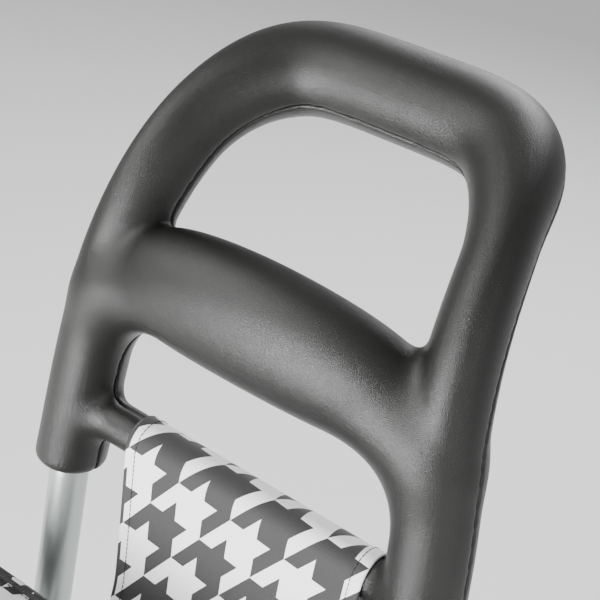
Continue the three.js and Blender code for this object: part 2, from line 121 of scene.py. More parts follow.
camera_azimuth = math.radians(34.6)
camera_elevation = math.radians(28.1)
camera_roll = math.radians(-8.4)
camera_lens = 82.3
camera_from_bar = np.array([0.3045, -0.4151, 0.3805])
camera_place = Vector(stand([0, 0, BAR_UP]) + camera_from_bar)
toward_camera = Vector((
    math.sin(camera_azimuth) * math.cos(camera_elevation),
    -math.cos(camera_azimuth) * math.cos(camera_elevation),
    math.sin(camera_elevation)))
level_right = Vector((0, 0, 1)).cross(toward_camera).normalized()
level_up = toward_camera.cross(level_right)
camera_right = level_right * math.cos(camera_roll) - level_up * math.sin(camera_roll)
camera_up = toward_camera.cross(camera_right)
camera_data = bpy.data.cameras.new("camera")
camera_data.lens = camera_lens
camera_data.sensor_width = 36
camera = bpy.data.objects.new("camera", camera_data)
bpy.context.collection.objects.link(camera)
camera_turn = Matrix((camera_right, camera_up, toward_camera)).transposed().to_4x4()
camera.matrix_world = Matrix.Translation(camera_place) @ camera_turn
bpy.context.scene.camera = camera


# ---- Handle shells ----
# The closed loop handle is moulded in black plastic as a front and a rear shell that meet on the loop's
# curled mid surface. Legs, grip, bulging mid bar and lower bar blend into each other with wide fillets.
def put_mesh(name, points, faces, uvs=None):
    """A smooth mesh object from arrays: points in world metres, faces as rows of corner numbers, and one
    uv pair for each point."""
    mesh = bpy.data.meshes.new(name)
    mesh.from_pydata(np.asarray(points).tolist(), [], [list(row) for row in faces])
    mesh.polygons.foreach_set("use_smooth", np.ones(len(mesh.polygons), bool))
    if uvs is not None:
        corners = np.empty(len(mesh.loops), int)
        mesh.loops.foreach_get("vertex_index", corners)
        layer = mesh.uv_layers.new(name="cloth")
        layer.data.foreach_set("uv", np.asarray(uvs, float)[corners].ravel())
    mesh.update()
    piece = bpy.data.objects.new(name, mesh)
    bpy.context.collection.objects.link(piece)
    return piece


LEG_SPREAD_TOP = 95.5
SOCKET_DROP = 35
ARCH_START, ARCH_TOP, ARCH_SQUARENESS = 75, 214, 4.2
BEND_START, BEND_RADIUS = 60, 135
LOWER_BAR_RADIUS, LOWER_BAR_HALF = 10.5, 101
MID_BAR_REACH, MID_BAR_DEEP, MID_BAR_HIGH = 92, 20.8, 29.7
MID_BAR_UP, MID_BAR_BACK = 91.3, -10.7
MID_BAR_SOFTNESS = 24
FILLET_ABOVE, FILLET_MORE_BELOW, LOWER_BAR_FILLET = 10, 26, 9
SOCKET_RIM_ROUND, SHELL_EDGE_ROUND, SHELL_GAP = 5, 0.8, 0.3
SCREW_BORE, SCREW_SEAT = 4.4, 8.6
field_step = 1.25


def curl(x, offset, up):
    """Flat pattern to leaning frame: straight up to BEND_START, then round an arc of BEND_RADIUS towards
    the back; offset is measured along the surface's normal, positive towards the user."""
    turn = np.maximum(0, (up - BEND_START) / BEND_RADIUS)
    y = BEND_RADIUS * (1 - np.cos(turn)) + offset * np.cos(turn)
    z = np.minimum(up, BEND_START) + (BEND_RADIUS - offset) * np.sin(turn)
    return np.stack(np.broadcast_arrays(x, y, z + BAR_UP), -1)


def loop_path(count):
    """The right half of the loop on the flat pattern: a tapering leg, then a quarter of a superellipse."""
    leg = np.linspace(-SOCKET_DROP - 12, ARCH_START, count // 2, endpoint=False)
    turn = np.linspace(0, math.pi / 2, 4 * count)
    power = 2 / ARCH_SQUARENESS
    up = np.concatenate([leg, ARCH_START + (ARCH_TOP - ARCH_START) * np.sin(turn) ** power])
    spread = np.concatenate([np.ones(len(leg)), np.maximum(np.cos(turn), 0) ** power])
    taper = (TUBE_SPREAD - LEG_SPREAD_TOP) / (SOCKET_DROP + ARCH_START)
    x = (TUBE_SPREAD - taper * (up + SOCKET_DROP)) * spread
    along = np.concatenate([[0], np.cumsum(np.hypot(np.diff(x), np.diff(up)))])
    even = np.linspace(0, along[-1], count)
    return np.interp(even, along, x), np.interp(even, along, up)


def eased(value, knots, sizes):
    """Sizes joined smoothly between knots with the 3t^2 - 2t^3 step."""
    knots, sizes = np.array(knots, float), np.array(sizes, float)
    i = np.clip(np.searchsorted(knots, value) - 1, 0, len(knots) - 2)
    t = np.clip((value - knots[i]) / (knots[i + 1] - knots[i]), 0, 1)
    return sizes[i] + (sizes[i + 1] - sizes[i]) * t * t * (3 - 2 * t)


def smooth_union(a, b, reach):
    """Two distance fields joined with a fillet: the least of both, lowered by h^2 / (4 reach)."""
    h = np.maximum(reach - np.abs(a - b), 0)
    return np.minimum(a, b) - h * h / (4 * reach)


def smooth_cut(a, b, reach):
    """The overlap of two distance fields with a rounded edge."""
    return -smooth_union(-a, -b, reach)


def handle_field(x, offset, up):
    """Signed distance to the whole handle over a flat pattern grid, negative inside. The loop is an
    ellipse about the nearest path point, turned by a twist; both bars are measured on the curled shape."""
    path_x, path_up = loop_path(500)
    tangent = np.stack([np.gradient(path_x), np.gradient(path_up)])
    tangent /= np.hypot(*tangent)
    flat_x, flat_up = np.meshgrid(x, up, indexing="ij")
    nearest = np.empty(flat_x.shape, int)
    for i in range(len(x)):
        gap = (abs(x[i]) - path_x[None]) ** 2 + (up[:, None] - path_up[None]) ** 2
        nearest[i] = gap.argmin(1)
    beside, above = np.abs(flat_x) - path_x[nearest], flat_up - path_up[nearest]
    across = beside * tangent[1][nearest] - above * tangent[0][nearest]
    height = path_up[nearest]
    knots = [-SOCKET_DROP, 20, 160, 214]
    half_width = eased(height, knots, [19, 19.5, 14, 20])
    half_depth = eased(height, knots, [18.2, 18.6, 23, 24])
    twist = eased(height, knots, [0, 0, 0.3, 0])
    across = across + eased(height, knots, [0, 0, 3, 1.5])
    cross = across[:, None, :]
    depth = offset[None, :, None]
    c, s = np.cos(twist)[:, None, :], np.sin(twist)[:, None, :]
    u, v = cross * c + depth * s, depth * c - cross * s
    reach = np.hypot(u, v) + 1e-6
    inner_width = eased(height, [-SOCKET_DROP, 150, 205], [17.4, 16.5, 24])
    rear_depth = eased(height, [-SOCKET_DROP, 60, 150, 214], [18.2, 18, 15.5, 20])
    width = np.where(u < 0, inner_width[:, None, :], half_width[:, None, :])
    deep = np.where(v > 0, rear_depth[:, None, :], half_depth[:, None, :])
    edge = reach / np.sqrt((u / width) ** 2 + (v / deep) ** 2 + 1e-9)
    loop = reach - edge
    loop = smooth_cut(loop, -SOCKET_DROP - up[None, None, :], SOCKET_RIM_ROUND)

    points = curl(x[:, None, None], depth, up[None, None, :])
    real_x, real_y, real_z = np.broadcast_arrays(x[:, None, None], points[..., 1], points[..., 2] - BAR_UP)
    share = (real_x / MID_BAR_REACH) ** 2
    bar_y = real_y - (MID_BAR_BACK + 13.5 * share)
    bar_z = real_z - (MID_BAR_UP - 10.8 * share)
    bar_high = MID_BAR_HIGH - 7.5 * share
    section = (bar_y / MID_BAR_DEEP) ** 2 + (bar_z / bar_high) ** 2
    fullness = np.sqrt(section + (real_x / MID_BAR_REACH) ** 6)
    mid = (fullness - 1) * MID_BAR_SOFTNESS
    low = np.maximum(np.hypot(real_y, real_z) - LOWER_BAR_RADIUS, np.abs(real_x) - LOWER_BAR_HALF)
    fillet = FILLET_ABOVE + FILLET_MORE_BELOW / (1 + np.exp((bar_z - 2) / 6))
    return smooth_union(smooth_union(loop, mid, fillet), low, LOWER_BAR_FILLET)


def net_surface(field, x, y, z):
    """Naive surface net: one vertex in each cell that the surface crosses, at the mean of its edge
    crossings, and one quad round each grid edge that changes sign."""
    inside = field < 0
    shape = np.array(field.shape) - 1
    total = np.zeros((*shape, 3))
    count = np.zeros(shape)
    steps = [np.array(s) for s in ((1, 0, 0), (0, 1, 0), (0, 0, 1))]
    for axis, step in enumerate(steps):
        low = tuple(slice(0, n - (1 if k == axis else 0)) for k, n in enumerate(field.shape))
        high = tuple(slice(1 if k == axis else 0, n) for k, n in enumerate(field.shape))
        crossed = inside[low] != inside[high]
        with np.errstate(divide="ignore", invalid="ignore"):
            share = np.where(crossed, field[low] / (field[low] - field[high]), 0)
        others = [k for k in range(3) if k != axis]
        for da in (0, 1):
            for db in (0, 1):
                window = [slice(None)] * 3
                window[others[0]] = slice(da, da + shape[others[0]])
                window[others[1]] = slice(db, db + shape[others[1]])
                hit = crossed[tuple(window)]
                count += hit
                total[..., axis] += share[tuple(window)]
                total[..., others[0]] += da * hit
                total[..., others[1]] += db * hit
    used = count > 0
    number = np.full(shape, -1)
    number[used] = np.arange(used.sum())
    places = np.argwhere(used) + total[used] / count[used][:, None]
    grids = (x, y, z)
    points = np.stack([np.interp(places[:, k], np.arange(len(grids[k])), grids[k]) for k in range(3)], -1)
    faces = []
    for axis in range(3):
        low = tuple(slice(1 if k != axis else 0, n - 1) for k, n in enumerate(field.shape))
        high = tuple(slice(1, n - 1) if k != axis else slice(1, n) for k, n in enumerate(field.shape))
        a, b = inside[low], inside[high]
        crossing = np.argwhere(a != b)
        offset = np.array([0 if k == axis else 1 for k in range(3)])
        base = crossing + offset
        others = [k for k in range(3) if k != axis]
        ring = []
        for da, db in ((0, 0), (1, 0), (1, 1), (0, 1)):
            corner = base.copy()
            corner[:, others[0]] -= da
            corner[:, others[1]] -= db
            ring.append(number[tuple(corner.T)])
        quads = np.stack(ring, -1)
        flip = a[tuple(crossing.T)] != (axis == 1)
        quads[~flip] = quads[~flip][:, ::-1]
        faces.append(quads)
    return points, np.concatenate(faces)


field_x = np.arange(-132, 132.1, field_step)
field_up = np.arange(-54, 246, field_step)
screw_places = [(-98, 30), (98, 30), (-42, 208), (42, 208)]
shells = {}
for shell_name, node, field_offset, sign in (
        ("front_shell", "handle_front_shell", np.arange(-48, 3, field_step), 1),
        ("rear_shell", "handle_rear_shell", np.arange(-2.5, 34, field_step), -1)):
    body = handle_field(field_x, field_offset, field_up)
    cut = smooth_cut(body, sign * field_offset[None, :, None] + SHELL_GAP, SHELL_EDGE_ROUND)
    if sign < 0:
        for screw_x, screw_up in screw_places:
            from_screw = np.hypot(field_x[:, None, None] - screw_x, field_up[None, None, :] - screw_up)
            bore = np.maximum(from_screw - SCREW_BORE, SCREW_SEAT - field_offset[None, :, None])
            cut = smooth_cut(cut, -bore, SHELL_EDGE_ROUND)
    flat_points, shell_faces = net_surface(cut, field_x, field_offset, field_up)
    shell_points = stand(curl(flat_points[:, 0], flat_points[:, 1], flat_points[:, 2]))
    shell = put_mesh(shell_name, shell_points, shell_faces)
    shells[shell_name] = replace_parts(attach(shell, "frame"), node)


# ---- Moulded plastic ----
# Satin black polypropylene with a fine spark-eroded grain, rubbed a little smoother where hands hold it.
def new_group(name, inputs, outputs):
    """A node group with a vector input, further number inputs with their defaults, and number outputs.
    Returns the group, its input node and its output node."""
    group = bpy.data.node_groups.new(name, "ShaderNodeTree")
    group.interface.new_socket(name="Vector", in_out="INPUT", socket_type="NodeSocketVector")
    for label, value in inputs:
        socket = group.interface.new_socket(name=label, in_out="INPUT", socket_type="NodeSocketFloat")
        socket.default_value = value
    for label in outputs:
        group.interface.new_socket(name=label, in_out="OUTPUT", socket_type="NodeSocketFloat")
    return group, group.nodes.new("NodeGroupInput"), group.nodes.new("NodeGroupOutput")


def add_node(tree, kind, settings=None, **links):
    """A node with its settings, its inputs linked from sockets or set to values; an input's name may be
    input_N for its number."""
    node = tree.nodes.new(kind)
    for key, value in (settings or {}).items():
        setattr(node, key, value)
    for key, value in links.items():
        numbered = key.startswith("input_")
        socket = node.inputs[int(key[6:]) if numbered else key.replace("_", " ")]
        if isinstance(value, bpy.types.NodeSocket):
            tree.links.new(value, socket)
        else:
            socket.default_value = value
    return node


def math_node(tree, operation, a, b=0.0):
    return add_node(tree, "ShaderNodeMath", {"operation": operation}, input_0=a, input_1=b).outputs[0]


def mix_colours(tree, share, first, second):
    kind = {"data_type": "RGBA"}
    return add_node(tree, "ShaderNodeMix", kind, input_0=share, input_6=first, input_7=second).outputs[2]


def grain_group():
    """Fine and broad noise on object coordinates: a height for the bump, and a slow wear mask."""
    group, start, end = new_group(
        "surface_grain", [("Fine Scale", 1500.0), ("Broad Scale", 25.0)], ["Height", "Wear"])
    fine = add_node(group, "ShaderNodeTexNoise", {}, Vector=start.outputs["Vector"],
                    Scale=start.outputs["Fine Scale"], Detail=2.0)
    broad = add_node(group, "ShaderNodeTexNoise", {}, Vector=start.outputs["Vector"],
                     Scale=start.outputs["Broad Scale"], Detail=3.0)
    group.links.new(fine.outputs["Fac"], end.inputs["Height"])
    group.links.new(broad.outputs["Fac"], end.inputs["Wear"])
    return group


surface_grain = grain_group()


def grained_material(name, dark, light, roughness, spread, fine_scale, bump, metallic=0.0, stretch=None):
    """A hard material: two close tones by the wear mask, roughness spread about its middle, and a grain
    bump whose depth is in metres."""
    material, tree, shader = node_material(name)
    place = add_node(tree, "ShaderNodeTexCoord").outputs["Object"]
    if stretch:
        place = add_node(tree, "ShaderNodeMapping", {}, Vector=place, Scale=stretch).outputs[0]
    grain = add_node(tree, "ShaderNodeGroup", {"node_tree": surface_grain}, Vector=place)
    grain.inputs["Fine Scale"].default_value = fine_scale
    colour = mix_colours(tree, grain.outputs["Wear"], (*dark, 1), (*light, 1))
    tree.links.new(colour, shader.inputs["Base Color"])
    rough = add_node(tree, "ShaderNodeMapRange", {}, Value=grain.outputs["Wear"], To_Min=roughness - spread,
                     To_Max=roughness + spread)
    tree.links.new(rough.outputs[0], shader.inputs["Roughness"])
    shader.inputs["Metallic"].default_value = metallic
    bumps = add_node(tree, "ShaderNodeBump", {}, Height=grain.outputs["Height"], Distance=bump)
    tree.links.new(bumps.outputs[0], shader.inputs["Normal"])
    return material


def dress(piece, material):
    """The material takes every slot of the piece."""
    if piece.data.materials:
        for i in range(len(piece.data.materials)):
            piece.data.materials[i] = material
    else:
        piece.data.materials.append(material)
    return piece


handle_plastic = grained_material(
    "handle_plastic", (0.004, 0.004, 0.0034), (0.0065, 0.0065, 0.0055), 0.36, 0.03, 2600, 0.00022)
for shell in shells.values():
    dress(shell, handle_plastic)


# ---- Fastenings of the handle ----
# Four zinc screws hold the shells together from the back, and a flat-headed rivet through each socket
# pins the handle on its tube.
zinc = grained_material("zinc_steel", (0.42, 0.42, 0.43), (0.55, 0.55, 0.56), 0.32, 0.08, 900, 0.00003, 1.0)


def softened(name, node, edge, body, material, keep_angle=32):
    """A merged copy of a made part with its sharp edges rounded, standing for that part."""
    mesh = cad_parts[node].data.copy()
    mesh.name = name
    piece = bpy.data.objects.new(name, mesh)
    bpy.context.collection.objects.link(piece)
    shape = bmesh.new()
    shape.from_mesh(mesh)
    bmesh.ops.remove_doubles(shape, verts=shape.verts, dist=2e-6)
    bmesh.ops.dissolve_limit(
        shape, angle_limit=math.radians(1), verts=shape.verts, edges=shape.edges)
    shape.to_mesh(mesh)
    shape.free()
    mesh.polygons.foreach_set("use_smooth", np.ones(len(mesh.polygons), bool))
    if edge:
        round_off = piece.modifiers.new("round_off", "BEVEL")
        round_off.width = edge
        round_off.segments = 3
        round_off.limit_method = "ANGLE"
        round_off.angle_limit = math.radians(keep_angle)
        round_off.harden_normals = True
    mesh.materials.clear()
    mesh.materials.append(material)
    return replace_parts(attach(piece, body), node)


for number in range(1, 5):
    softened(f"shell_screw_{number}", f"handle_screw_{number}", 0.0006, "frame", zinc)
for side in ("left", "right"):
    softened(f"rivet_{side}", f"socket_rivet_{side}", 0.0009, "frame", handle_plastic)


# ---- Tubes and axle ----
# Anodised aluminium tube, 20 mm across with a 1.5 mm wall, drawn with faint lines along its length; a
# turned cross tube and a steel axle join the legs at the bottom.
def unit_rows(vectors):
    """Each row divided by its own length."""
    return vectors / np.linalg.norm(vectors, axis=1)[:, None]


def swept_ring(path, radius, segments):
    """Rings round a path of points: each ring is a circle in the plane square to the path, its first
    axis along X as far as it goes. Returns points by station and angle."""
    path = np.asarray(path, float)
    heading = unit_rows(np.gradient(path, axis=0))
    reference = np.array([1.0, 0, 0])
    across = reference - heading * (heading @ reference)[:, None]
    weak = np.linalg.norm(across, axis=1) < 0.3
    other = np.array([0, 1.0, 0])
    across[weak] = (other - heading * (heading @ other)[:, None])[weak]
    across = unit_rows(across)
    up = np.cross(heading, across)
    angle = np.linspace(0, 2 * math.pi, segments, endpoint=False)
    radius = np.broadcast_to(np.asarray(radius, float), (len(path),))[:, None, None]
    round_it = np.cos(angle)[None, :, None] * across[:, None] + np.sin(angle)[None, :, None] * up[:, None]
    return path[:, None] + radius * round_it


def ring_faces(stations, segments, closed=False):
    """Quads between neighbouring rings; a closed set of rings joins its last ring to its first."""
    i = np.arange(stations if closed else stations - 1)[:, None]
    j = np.arange(segments)[None]
    k, n = (j + 1) % segments, (i + 1) % stations
    quads = np.stack([i * segments + j, i * segments + k, n * segments + k, n * segments + j], -1)
    return quads.reshape(-1, 4).tolist()


def capped_faces(stations, segments):
    """Ring quads with one polygon over each end."""
    last = (stations - 1) * segments
    ends = [list(range(segments))[::-1], list(range(last, last + segments))]
    return ring_faces(stations, segments) + ends


def rounded_ends(path, radius, rounding, steps=4):
    """A path with its ends pulled in as quarter circles, so that its two end faces are small flats."""
    path = np.asarray(path, float)
    turn = np.linspace(0, math.pi / 2, steps + 1)
    first = path[0] - path[1]
    first /= np.linalg.norm(first)
    last = path[-1] - path[-2]
    last /= np.linalg.norm(last)
    head = path[0] - first * rounding + np.outer(np.cos(turn), first) * rounding
    tail = path[-1] - last * rounding + np.outer(np.sin(turn), last) * rounding
    radii = [radius - rounding + rounding * np.sin(turn), np.full(len(path) - 2, radius),
             radius - rounding + rounding * np.cos(turn)]
    return np.concatenate([head, path[1:-1], tail]), np.concatenate(radii)


def solid_rod(name, path, radius, segments=40, rounding=0.8):
    """A rod along a path in leaning millimetres, with rounded rims and closed ends."""
    path, radii = rounded_ends(path, radius, rounding)
    rings = swept_ring(path, radii, segments)
    return put_mesh(name, stand(rings.reshape(-1, 3)), capped_faces(len(path), segments))


def pipe(name, path, radius, wall, segments=56):
    """An open-ended tube along a path: the outside out, and the bore back, joined by flat rims."""
    outer = swept_ring(path, radius, segments)
    inner = swept_ring(path, radius - wall, segments)[::-1]
    rings = np.concatenate([outer, inner])
    faces = ring_faces(len(rings), segments, closed=True)
    return put_mesh(name, stand(rings.reshape(-1, 3)), faces)


def fit(piece, material, body, node):
    """The piece takes its material, its body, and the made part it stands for."""
    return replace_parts(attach(dress(piece, material), body), node)


anodised = grained_material(
    "tube_aluminium", (0.50, 0.55, 0.52), (0.60, 0.65, 0.62), 0.38, 0.05, 700, 0.00002, 0.85,
    stretch=(1, 1, 0.03))
TUBE_RADIUS, TUBE_WALL = 10, 1.5
TUBE_LOW, TUBE_HIGH = -14, 762
BRACE_HALF, BRACE_UP, BRACE_RADIUS = 95.7, 84, 7
AXLE_HALF, AXLE_RADIUS = 231, 5
for side, sign in (("left", -1), ("right", 1)):
    line = [[sign * TUBE_SPREAD, 0, z] for z in np.linspace(TUBE_LOW, TUBE_HIGH, 24)]
    leg = pipe(f"leg_tube_{side}", line, TUBE_RADIUS, TUBE_WALL)
    fit(leg, anodised, "frame", f"tube_{side}")
brace_line = [[x, 0, BRACE_UP] for x in np.linspace(-BRACE_HALF, BRACE_HALF, 12)]
fit(solid_rod("cross_brace", brace_line, BRACE_RADIUS), anodised, "frame", "cross_tube")
axle_line = [[x, AXLE_BACK, 0] for x in np.linspace(-AXLE_HALF, AXLE_HALF, 12)]
fit(solid_rod("axle_rod", axle_line, AXLE_RADIUS, rounding=1), zinc, "frame", "axle")
grey_plastic = grained_material(
    "bracket_plastic", (0.030, 0.031, 0.032), (0.042, 0.043, 0.044), 0.48, 0.06, 900, 0.00008)
black_paint = grained_material(
    "black_steel", (0.014, 0.014, 0.015), (0.02, 0.02, 0.021), 0.34, 0.06, 600, 0.00005, 0.0)
for side in ("left", "right"):
    softened(f"bracket_{side}", f"lower_bracket_{side}", 0.0015, "frame", grey_plastic)
    softened(f"sleeve_on_axle_{side}", f"axle_sleeve_{side}", 0.0008, "frame",
             grey_plastic)
    softened(f"axle_clip_ring_{side}", f"axle_clip_{side}", 0.0003, "frame", zinc)


# ---- Wheels ----
# Each wheel is a black moulded rim with six spokes, a rubber tyre with cut tread blocks pressed over it,
# and a cap that snaps on the end of the axle.
WHEEL_RADIUS, WHEEL_HALF = 82.5, 16
RIM_RADIUS, WHEEL_SPREAD = 66, 204
TYRE_SEAT = RIM_RADIUS + 0.3
TREAD_BLOCKS = 48
TREAD_DEPTH = 1.6


def signed_power(value, power):
    """The size of a value raised to a power, with the value's own sign."""
    return np.sign(value) * np.abs(value) ** power


def tyre_shape(centre_x):
    """A tyre: a profile of a low rounded crown and bulging side walls turned about the axle. Tread
    grooves sink where a sine of angle, shifted by side, passes a threshold, only near the crown."""
    turns = 8 * TREAD_BLOCKS
    around = np.linspace(0, 2 * math.pi, turns, endpoint=False)[:, None]
    t = np.linspace(-math.pi / 2, math.pi / 2, 33)[None]
    across = signed_power(np.sin(t), 0.55) * WHEEL_HALF
    rise = np.abs(np.cos(t)) ** 0.5
    radius = TYRE_SEAT + (WHEEL_RADIUS - RIM_RADIUS - 0.3) * rise
    crown = np.clip((rise - 0.86) / 0.08, 0, 1)
    phase = around * TREAD_BLOCKS + np.sign(across) * 1.5 + np.abs(across) * 0.12
    groove = np.clip((np.sin(phase) - 0.35) / 0.3, 0, 1) * np.clip((np.abs(across) - 2.2) / 0.8, 0, 1)
    middle = np.clip((1.6 - np.abs(across)) / 0.6, 0, 1) * 0.8
    radius = radius - TREAD_DEPTH * crown * np.maximum(groove, middle)
    x = np.broadcast_to(across, radius.shape)
    outer = np.stack([centre_x + x, radius * np.cos(around), radius * np.sin(around)], -1)
    seat = np.linspace(WHEEL_HALF - 1.5, -WHEEL_HALF + 1.5, 9)[None]
    seat_radius = np.full((turns, 9), TYRE_SEAT)
    inner = np.stack([centre_x + np.broadcast_to(seat, seat_radius.shape),
                      seat_radius * np.cos(around), seat_radius * np.sin(around)], -1)
    rings = np.concatenate([outer[:, 1:-1], inner], 1)
    return rings + np.array([0, AXLE_BACK, 0])


rubber = grained_material(
    "tyre_rubber", (0.016, 0.016, 0.016), (0.03, 0.03, 0.029), 0.72, 0.08, 500, 0.0001)
for side, sign in (("left", -1), ("right", 1)):
    rings = tyre_shape(sign * WHEEL_SPREAD)
    tyre = put_mesh(f"tyre_{side}", stand(rings.reshape(-1, 3)),
                    ring_faces(rings.shape[0], rings.shape[1], closed=True))
    fit(tyre, rubber, f"wheel_{side}", f"wheel_{side}_tyre")
    softened(f"rim_{side}", f"wheel_{side}_rim", 0.0012, f"wheel_{side}", grey_plastic)
    softened(f"hub_cap_{side}", f"wheel_{side}_hub_cap", 0.001, f"wheel_{side}",
             handle_plastic)


# ---- Folding platform ----
# A bent black steel loop that carries the bag and stands on a hoop with two rubber pads. It folds up
# about two steel pins in the side brackets.
def walked(line):
    """Distance walked along a path from its first point to each of its points."""
    return np.concatenate([[0], np.cumsum(np.linalg.norm(np.diff(line, axis=0), axis=1))])


def bent_line(corners, bend, step=3.0):
    """Straight runs between corners joined by arcs that leave bend millimetres before each corner."""
    corners = np.asarray(corners, float)
    line = [corners[0]]
    for before, corner, after in zip(corners[:-2], corners[1:-1], corners[2:]):
        arrive = corner + (before - corner) / np.linalg.norm(before - corner) * bend
        leave = corner + (after - corner) / np.linalg.norm(after - corner) * bend
        t = np.linspace(0, 1, 14)[:, None]
        line.extend((1 - t) ** 2 * arrive + 2 * t * (1 - t) * corner + t * t * leave)
    line.append(corners[-1])
    line = np.asarray(line)
    along = walked(line)
    even = np.linspace(0, along[-1], max(int(along[-1] / step), 4))
    return np.stack([np.interp(even, along, line[:, k]) for k in range(3)], -1)


PLATFORM_SPREAD, PLATFORM_TUBE = 83.5, 6
PIVOT_FRONT, PLATFORM_UP, PLATFORM_FRONT = -80, 6.5, -238
HOOP_BACK, HOOP_FRONT = -206, -222
HOOP_DROP = 95.2
EYE_HALF, EYE_RADIUS, EYE_WALL = 5.7, 9.5, 5.2
ROD_HALF, ROD_RADIUS = 77.2, 3
half_loop = [(PLATFORM_SPREAD, PIVOT_FRONT, 0), (PLATFORM_SPREAD, PIVOT_FRONT - 24, PLATFORM_UP),
             (PLATFORM_SPREAD, PLATFORM_FRONT, PLATFORM_UP)]
half_hoop = [(PLATFORM_SPREAD, HOOP_BACK, PLATFORM_UP), (PLATFORM_SPREAD, HOOP_FRONT, -HOOP_DROP)]
for name, half_path, bend in (("platform_loop", half_loop, 32), ("ground_hoop", half_hoop, 26)):
    mirrored = [(-x, y, z) for x, y, z in half_path[::-1]]
    line = bent_line(half_path + mirrored, bend)
    piece = solid_rod(name, line, PLATFORM_TUBE, 36, 1.0)
    fit(piece, black_paint, "platform", "platform_frame")
for side, sign in (("left", -1), ("right", 1)):
    reach = [sign * PLATFORM_SPREAD - EYE_HALF, sign * PLATFORM_SPREAD + EYE_HALF]
    eye_line = [[x, PIVOT_FRONT, 0] for x in np.linspace(*reach, 5)]
    eye = pipe(f"pivot_eye_{side}", eye_line, EYE_RADIUS, EYE_WALL)
    fit(eye, black_paint, "platform", "platform_frame")
    softened(f"foot_{side}", f"foot_pad_{side}", 0.0015, "platform", rubber)
    softened(f"fold_pin_{side}", f"pivot_pin_{side}", 0.0006, "frame", zinc)
for number, y in enumerate((-120, -158, -196), 1):
    rod_line = [[x, y, PLATFORM_UP] for x in np.linspace(-ROD_HALF, ROD_HALF, 9)]
    rod = solid_rod(f"shelf_rod_{number}", rod_line, ROD_RADIUS, 24)
    fit(rod, black_paint, "platform", f"platform_rod_{number}")


# ---- Check cloth ----
# Bag, lid and hanging sleeve are cut from printed polyester: a large broken check in black on white over
# a fine plain weave, sewn with dark thread.
CHECK_WIDE, CHECK_HIGH = 32.4, 41.8


def check_group():
    """Broken check in a surface's own millimetres: the cloth is cut by diagonal bands a quarter check
    wide. On odd bands the columns show, dark in their second half; on even bands the rows show."""
    group, start, end = new_group("broken_check", [("Wide", CHECK_WIDE), ("High", CHECK_HIGH)], ["Dark"])
    split = add_node(group, "ShaderNodeSeparateXYZ", {}, Vector=start.outputs["Vector"])
    column = math_node(group, "DIVIDE", split.outputs[0], start.outputs["Wide"])
    row = math_node(group, "DIVIDE", split.outputs[1], start.outputs["High"])
    quarters = math_node(group, "MULTIPLY", math_node(group, "ADD", column, row), 4.0)
    band = math_node(group, "FLOOR", quarters)
    odd = math_node(group, "GREATER_THAN", math_node(group, "FLOORED_MODULO", band, 2.0), 0.5)
    dark_column = math_node(group, "GREATER_THAN", math_node(group, "FRACT", column), 0.5)
    dark_row = math_node(group, "GREATER_THAN", math_node(group, "FRACT", row), 0.5)
    from_column = math_node(group, "MULTIPLY", odd, dark_column)
    from_row = math_node(group, "MULTIPLY", math_node(group, "SUBTRACT", 1.0, odd), dark_row)
    group.links.new(math_node(group, "ADD", from_column, from_row), end.inputs["Dark"])
    return group


def weave_group():
    """Plain weave in a surface's own millimetres: two crossed sines at the thread pitch, roughened by
    fine noise. Gives a height and a speckle from 0 to 1."""
    group, start, end = new_group("plain_weave", [("Pitch", 0.7)], ["Height", "Speckle"])
    split = add_node(group, "ShaderNodeSeparateXYZ", {}, Vector=start.outputs["Vector"])
    waves = []
    for axis in (0, 1):
        turns = math_node(group, "DIVIDE", split.outputs[axis], start.outputs["Pitch"])
        waves.append(math_node(group, "SINE", math_node(group, "MULTIPLY", turns, 2 * math.pi)))
    crossed = math_node(group, "MULTIPLY", waves[0], waves[1])
    noise = add_node(group, "ShaderNodeTexNoise", {}, Vector=start.outputs["Vector"], Scale=1.6, Detail=3.0)
    height = math_node(group, "ADD", math_node(group, "MULTIPLY", crossed, 0.35), noise.outputs["Fac"])
    group.links.new(height, end.inputs["Height"])
    group.links.new(noise.outputs["Fac"], end.inputs["Speckle"])
    return group


broken_check = check_group()
plain_weave = weave_group()


def cloth_material(name, light, dark, checked, pitch=0.7, roughness=0.62, bump=0.00025):
    material, tree, shader = node_material(name)
    cloth_map = add_node(tree, "ShaderNodeUVMap", {"uv_map": "cloth"}).outputs[0]
    millimetres = add_node(tree, "ShaderNodeVectorMath", {"operation": "MULTIPLY"}, input_0=cloth_map,
                           input_1=(1000, 1000, 0)).outputs[0]
    weave = add_node(tree, "ShaderNodeGroup", {"node_tree": plain_weave}, Vector=millimetres)
    weave.inputs["Pitch"].default_value = pitch
    speckle = add_node(tree, "ShaderNodeMapRange", {}, Value=weave.outputs["Speckle"], From_Min=0.3,
                       From_Max=0.7).outputs[0]
    dark_tone = mix_colours(tree, speckle, (*[c * 0.55 for c in dark], 1), (*[c * 1.5 for c in dark], 1))
    colour = dark_tone
    if checked:
        light_tone = mix_colours(tree, speckle, (*[c * 0.97 for c in light], 1), (*light, 1))
        check = add_node(tree, "ShaderNodeGroup", {"node_tree": broken_check}, Vector=millimetres)
        colour = mix_colours(tree, check.outputs["Dark"], light_tone, dark_tone)
    tree.links.new(colour, shader.inputs["Base Color"])
    shader.inputs["Roughness"].default_value = roughness
    shader.inputs["Sheen Weight"].default_value = 0.15
    bumps = add_node(tree, "ShaderNodeBump", {}, Height=weave.outputs["Height"], Distance=bump)
    bumps.inputs["Strength"].default_value = 0.5
    tree.links.new(bumps.outputs[0], shader.inputs["Normal"])
    return material


